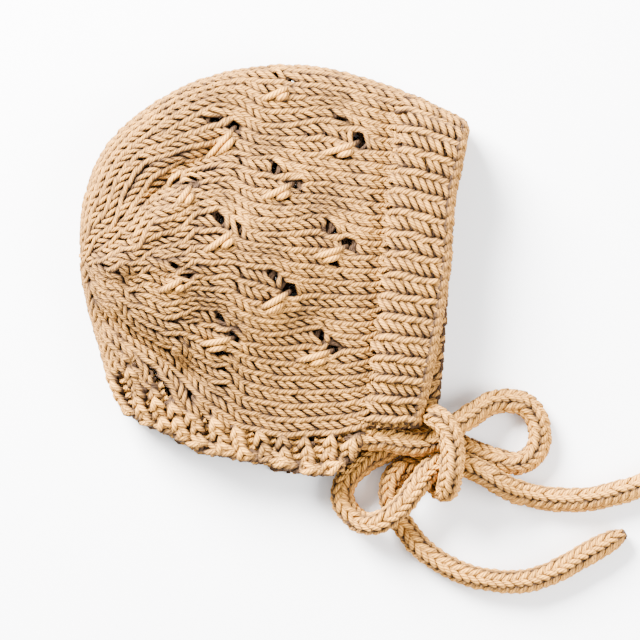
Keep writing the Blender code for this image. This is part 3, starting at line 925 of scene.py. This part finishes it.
def knit_brim(sizes, wool):
    """The ribbed brim: knit columns that stand up, purl columns sunk between them, and a chain along the rim."""
    rng = np.random.default_rng(sizes.seed + 10)
    parts = []
    for upper in (True, False):
        ribs, pitch = brim_columns(upper)
        knit, purl, rim = [], [], []
        for kind, (line, side, out, edge) in ribs:
            rim.append(edge)
            width = (1.08 if kind == "knit" else 0.55) * pitch
            from_end = np.cumsum(np.linalg.norm(np.diff(line[::-1], axis=0, append=line[:1]), axis=1))[::-1]
            dive = BRIM_DIVE * np.clip(1.0 - from_end / DIVE_LENGTH, 0.0, 1.0) ** 2
            sunk = line - out * (dive + (0.0 if kind == "knit" else BRIM_SUNK))[:, None]
            column = wale(sunk, side, np.full(len(line), width), out)
            (knit if kind == "knit" else purl).append(column)
        parts.append(tubes(stitches(knit, sizes.rib_row, *BRIM_KNIT, PLAIN, 17, rng), 6, rng, 2))
        made = stitches(purl, sizes.rib_row, *BRIM_PURL, PURL, 10, rng)
        parts.append(tubes(with_lighter_painted_shade(made, BRIM_PURL_SHADE_LIFT), 5, rng, 2))
        parts.append(tubes(edge_chain(rim, sizes.row, rng), 6, rng, 2))
    item = knit_object("brim", joined(parts), wool, "brim_band")


# Neck band


def neck_columns(upper):
    """Rib columns of one layer of the neck band, from the line where they are picked up to the edge."""
    u = np.linspace(0.0, 1.0, 150)
    v = np.linspace(0.0, 1.0, 12)
    near = through(plan(NECK_EDGE), u)
    far = through(plan(NECK_LINE), u)
    end = near[0] + (far[0] - near[0]) * v[:, None]
    fold = stretch(BACK_EDGE, 3, 4, 1.0 - v)
    fold[0], fold[-1] = near[-1], far[-1]
    points = coons(near, far, end, fold, u, v)
    grid, _ = even(lay(points, upper, NECK_SEAT, NECK_LIFT), 200)
    aside = np.gradient(grid, axis=1)
    cross = np.cross(np.gradient(grid, axis=0), aside)
    sign = 1.0 if upper else -1.0
    rows = np.linspace(11.0, 0.0, 12)
    knit, purl = np.arange(NECK_RIBS) + 0.5, np.arange(NECK_RIBS + 1)
    made = []
    for kind, place in [("knit", i) for i in knit] + [("purl", i) for i in purl]:
        column = np.full(12, place / NECK_RIBS * 199.0)
        out = unit(sample(cross, rows, column))
        facing = sign * (np.sign(out[:, 2].sum()) or 1.0)
        made.append((kind, sample(grid, rows, column), sample(aside, rows, column), out * facing))
    return made


def knit_neck(sizes, wool):
    """The ribbed neck band with its cast-off edge."""
    rng = np.random.default_rng(sizes.seed + 20)
    parts = []
    for upper in (True, False):
        knit, purl, edge = [], [], []
        for kind, line, side, out in neck_columns(upper):
            if kind == "knit":
                line = line + out * NECK_RAISED
                edge.append((line[-1], out[-1]))
                knit.append(wale(line, side, np.full(len(line), NECK_WIDTH), out))
            else:
                line = line - out * NECK_SUNK
                purl.append(wale(line, side, np.full(len(line), NECK_PURL_WIDTH), out))
        made = stitches(knit, NECK_ROW, *NECK_KNIT, ROUND, 13, rng)
        made[0] = made[0] + rng.normal(0, NECK_UNEVEN, (len(made[0]), 1, 3))
        parts.append(tubes(made, 6, rng, 2))
        made = stitches(purl, NECK_ROW, *NECK_PURL, PURL, 10, rng)
        parts.append(tubes(with_lighter_painted_shade(made, NECK_PURL_SHADE_LIFT), 5, rng, 2))
        made = edge_chain(edge, NECK_EDGE_ROW, rng)
        made[0] = made[0] + rng.normal(0, NECK_EDGE_UNEVEN, (len(made[0]), 1, 3))
        parts.append(tubes(made, 6, rng, 2))
    item = knit_object("neck", joined(parts), wool, "neck_band")


# Ties


def cord_frame(route, step):
    """Points along a smooth curve through the route with two directions square to it that don't twist."""
    length = np.linalg.norm(np.diff(np.array(route), axis=0), axis=1).sum()
    line = through(route, np.linspace(0.0, 1.0, int(length / step)))
    along = unit(np.gradient(line, axis=0))
    up = np.tile([0.0, 0.0, 1.0], (len(line), 1))
    a = unit(np.cross(along, up))
    flat = np.linalg.norm(np.cross(along, up), axis=1)
    if flat.min() < 0.25:
        a = np.zeros_like(line)
        a[0] = unit(np.cross(along[0], [0.0, 0.0, 1.0]))
        for i in range(1, len(line)):
            a[i] = unit(a[i - 1] - (a[i - 1] @ along[i]) * along[i])
    b = np.cross(a, along)
    return line, along, a, b


def knit_tie(name, route, node, sizes, wool, start, hidden):
    """A knitted cord: four columns of stitches side by side round a core, slowly turning along the cord from a start
    angle, with a hidden length that carries straight back into the band."""
    rng = np.random.default_rng(sizes.seed + len(name))
    line, along, a, b = cord_frame(route, 0.0008)
    lead = line[:1] - along[:1] * (np.arange(hidden, 0.0, -0.0008)[:, None])
    path, line = line[::4], np.vstack([lead, line])
    a, b = (np.vstack([np.repeat(v[:1], len(lead), axis=0), v]) for v in (a, b))
    run = np.concatenate([[0.0], np.cumsum(np.linalg.norm(np.diff(line, axis=0), axis=1))])
    left = run[-1] - run
    thin = 0.4 + 0.6 * np.clip(np.minimum(left / TIE_TAPER, run / 0.004), 0.0, 1.0) ** 0.5
    radius = TIE_CORE * thin
    columns = []
    for k in range(4):
        angle = start + k * math.pi / 2 + run * TIE_TWIST
        out = a * np.cos(angle)[:, None] + b * np.sin(angle)[:, None]
        side = -a * np.sin(angle)[:, None] + b * np.cos(angle)[:, None]
        wide = 2 * math.pi * (radius + 0.0008) / 4
        columns.append(wale(line + out * radius[:, None], side, wide, out))
    made = stitches(columns, TIE_ROW, *TIE_KNIT, ROUND, 13, rng)
    parts = [tubes(with_lighter_painted_shade(made, TIE_SHADE_LIFT), 6, rng)]
    middle = np.concatenate([line[:1], line[::3], line[-1:]])[None]
    thick = 0.8 * np.concatenate([[0.0], radius[::3], [0.0]])[None]
    facing = np.concatenate([b[:1], b[::3], b[-1:]])[None]
    # The core's cloth is set 3 mm below its middle, so that little painted shade falls on the core
    parts.append(tubes([middle, facing, thick, middle - 0.0030 * facing], 8, rng))
    item = knit_object(name, joined(parts), wool, node)
    return item


# Materials


def add(tree, kind, place, inputs, **settings):
    """A node of that kind with its settings, and its inputs as values or as sockets to link from."""
    node = tree.nodes.new(kind)
    node.location = place
    for key, value in settings.items():
        setattr(node, key, value)
    return fill(tree, node, inputs)


def fill(tree, node, inputs):
    """A node with its inputs given, each a value or a socket to link from."""
    for key, value in inputs.items():
        if isinstance(value, bpy.types.NodeSocket):
            tree.links.new(value, node.inputs[key])
        else:
            node.inputs[key].default_value = value
    return node


def wool_material(colours):
    """Soft plied wool, spun and knitted: plies wind round the yarn with painted shade in their grooves, fibres mottle
    it, stitches differ a little in tone, and painted shade darkens the colour down between stitches."""
    item = bpy.data.materials.new("camel wool yarn")
    item.use_nodes = True
    tree = item.node_tree
    wool, deep, painted_crease_shade = ((*colour, 1.0) for colour in (colours.wool, colours.deep, colours.painted_crease_shade))
    math_node, sum_of = "ShaderNodeMath", {"operation": "MULTIPLY_ADD"}
    uv = add(tree, "ShaderNodeUVMap", (-1600, 0), {}, uv_map="yarn")
    parts = add(tree, "ShaderNodeSeparateXYZ", (-1400, 0), {0: uv.outputs[0]})
    # Plies fewer and thicker than real ones, so that they show: a wave along the yarn and round it, folded up
    slope = {0: parts.outputs[0], 1: math.pi * PLIES / PLY_TURN}
    turns = add(tree, math_node, (-1200, 100), slope, operation="MULTIPLY")
    start = add(tree, math_node, (-1200, -100), {0: parts.outputs[1], 1: math.pi * PLIES}, operation="MULTIPLY")
    phase = add(tree, math_node, (-1000, 0), {0: turns.outputs[0], 1: start.outputs[0]}, operation="SUBTRACT")
    wave = add(tree, math_node, (-850, 0), {0: phase.outputs[0]}, operation="SINE")
    ply = add(tree, math_node, (-700, 0), {0: wave.outputs[0]}, operation="ABSOLUTE").outputs[0]
    place = add(tree, "ShaderNodeTexCoord", (-1600, -400), {})
    tufts = {"Vector": place.outputs["Object"], "Scale": 1.0 / TUFT, "Detail": 3.0}
    fibre = add(tree, "ShaderNodeTexNoise", (-1200, -400), tufts).outputs["Fac"]
    height = add(tree, math_node, (-500, -100), {0: fibre, 1: 0.8, 2: ply}, **sum_of)
    relief = {"Strength": 0.8, "Distance": PLY_RELIEF, "Height": height.outputs[0]}
    bump = add(tree, "ShaderNodeBump", (-250, -200), relief)
    # Painted shade in the plies' grooves, lighter on the plies, mottled by fibre, and uneven from stitch to stitch
    tone = add(tree, "ShaderNodeAttribute", (-1000, 400), {}, attribute_name="tone")
    vary = add(tree, math_node, (-800, 400), {0: tone.outputs["Fac"], 1: 0.22, 2: -0.22}, **sum_of)
    mottle = add(tree, math_node, (-600, 300), {0: fibre, 1: 0.6, 2: vary.outputs[0]}, **sum_of)
    shade = add(tree, math_node, (-450, 200), {0: ply, 1: 0.75, 2: mottle.outputs[0]}, use_clamp=True, **sum_of)
    mix = add(tree, "ShaderNodeMix", (-300, 350), {0: shade.outputs[0], 6: deep, 7: wool}, data_type="RGBA")
    # Painted shade: dark down at the cloth's middle, full colour at the tops of the loops
    lift = add(tree, "ShaderNodeAttribute", (-1000, 650), {}, attribute_name="lift")
    painted_shade_ramp = {"Value": lift.outputs["Fac"], "From Min": PAINTED_SHADE_DARKEST_LIFT, "From Max": PAINTED_SHADE_GONE_LIFT}
    rise = add(tree, "ShaderNodeMapRange", (-700, 700), painted_shade_ramp)
    layers = {0: rise.outputs[0], 6: painted_crease_shade, 7: mix.outputs[2]}
    colour = add(tree, "ShaderNodeMix", (-100, 450), layers, data_type="RGBA")
    finish = {
        "Base Color": colour.outputs[2],
        "Normal": bump.outputs["Normal"],
        "Roughness": 0.88,
        "Sheen Weight": 0.08,
        "Sheen Roughness": 0.5,
        "Sheen Tint": wool,
        "Specular IOR Level": 0.1,
    }
    fill(tree, tree.nodes["Principled BSDF"], finish)
    return item


def wool_of(context):
    """The wool, made once."""
    found = bpy.data.materials.get("camel wool yarn")
    return found or wool_material(context.scene.bonnet_colours)


# Operators


class BonnetCrown(bpy.types.Operator):
    """Knit the crown and sides, with lace eyelets"""

    bl_idname = "bonnet.crown"
    bl_label = "Crown and Sides"

    def execute(self, context):
        knit_crown(context.scene.bonnet_sizes, wool_of(context))
        return {"FINISHED"}


class BonnetBands(bpy.types.Operator):
    """Knit the ribbed brim and the ribbed neck band"""

    bl_idname = "bonnet.bands"
    bl_label = "Brim and Neck Band"

    def execute(self, context):
        knit_brim(context.scene.bonnet_sizes, wool_of(context))
        knit_neck(context.scene.bonnet_sizes, wool_of(context))
        return {"FINISHED"}


class BonnetTies(bpy.types.Operator):
    """Knit the two cord ties"""

    bl_idname = "bonnet.ties"
    bl_label = "Ties"

    def execute(self, context):
        sizes = context.scene.bonnet_sizes
        knit_tie("upper_tie", UPPER_TIE, "tie_upper", sizes, wool_of(context), 0.3, 0.0056)
        knit_tie("lower_tie", LOWER_TIE, "tie_lower", sizes, wool_of(context), 0.9, 0.0)
        return {"FINISHED"}


class BonnetStage(bpy.types.Operator):
    """Set the surface, the lights and the camera"""

    bl_idname = "bonnet.stage"
    bl_label = "Stage"

    def execute(self, context):
        make_stage(context.scene.bonnet_colours)
        make_camera()
        return {"FINISHED"}


def make_stage(colours):
    """A white surface under one broad soft light from above and an even surround."""
    # Matt paper: an even white with no gloss
    paper = bpy.data.materials.new("white matt paper")
    paper.use_nodes = True
    finish = {"Base Color": (*colours.floor, 1.0), "Roughness": 0.9, "Specular IOR Level": 0.1}
    fill(paper.node_tree, paper.node_tree.nodes["Principled BSDF"], finish)
    mesh = bpy.data.meshes.new("surface")
    mesh.from_pydata([(-2, -2, 0), (2, -2, 0), (2, 2, 0), (-2, 2, 0)], [], [(0, 1, 2, 3)])
    mesh.materials.append(paper)
    floor = bpy.data.objects.new("surface", mesh)
    bpy.context.scene.collection.objects.link(floor)
    for name, place, size, power in (
        ("overhead softbox", (-0.75, 0.95, 0.75), 0.8, 370.0),
        ("side fill", (1.1, -0.3, 0.8), 0.9, 60.0),
    ):
        data = bpy.data.lights.new(name, "AREA")
        data.shape = "SQUARE"
        data.size = size
        data.energy = power
        lamp = bpy.data.objects.new(name, data)
        lamp.location = place
        lamp.rotation_euler = (-Vector(place)).to_track_quat("-Z", "Y").to_euler()
        bpy.context.scene.collection.objects.link(lamp)
    world = bpy.data.worlds.new("even surround")
    world.use_nodes = True
    back = world.node_tree.nodes["Background"]
    back.inputs["Color"].default_value = (1.0, 1.0, 1.0, 1.0)
    back.inputs["Strength"].default_value = 1.35
    bpy.context.scene.world = world


def make_camera():
    """A long lens straight above."""
    data = bpy.data.cameras.new("camera")
    data.sensor_width = 36.0
    data.lens = 36.0 * 1.985 / 0.256
    data.clip_start, data.clip_end = 0.05, 10.0
    camera = bpy.data.objects.new("camera", data)
    camera.location = (0.0184, -0.0214, 2.0)
    bpy.context.scene.collection.objects.link(camera)
    bpy.context.scene.camera = camera


class BonnetPanel(bpy.types.Panel):
    """Bonnet tools"""

    bl_label = "Bonnet"
    bl_idname = "VIEW3D_PT_bonnet"
    bl_space_type = "VIEW_3D"
    bl_region_type = "UI"
    bl_category = "Bonnet"

    def draw(self, context):
        scene = context.scene
        for name in ("wale", "row", "yarn", "rib_row", "seed"):
            self.layout.prop(scene.bonnet_sizes, name)
        for name in ("wool", "deep", "painted_crease_shade", "floor"):
            self.layout.prop(scene.bonnet_colours, name)
        for name in ("bonnet.crown", "bonnet.bands", "bonnet.ties", "bonnet.stage"):
            self.layout.operator(name)


CLASSES = (
    BonnetSizes,
    BonnetColours,
    BonnetCrown,
    BonnetBands,
    BonnetTies,
    BonnetStage,
    BonnetPanel,
)


def register():
    """Add the classes and the scene's properties."""
    for item in CLASSES:
        bpy.utils.register_class(item)
    bpy.types.Scene.bonnet_sizes = PointerProperty(type=BonnetSizes)
    bpy.types.Scene.bonnet_colours = PointerProperty(type=BonnetColours)


def unregister():
    """Take them away again."""
    del bpy.types.Scene.bonnet_colours
    del bpy.types.Scene.bonnet_sizes
    for item in reversed(CLASSES):
        bpy.utils.unregister_class(item)


def main():
    """Make the whole scene."""
    register()
    bpy.ops.bonnet.stage()
    bpy.ops.bonnet.ties()
    bpy.ops.bonnet.crown()
    bpy.ops.bonnet.bands()


if __name__ == "__main__":
    main()
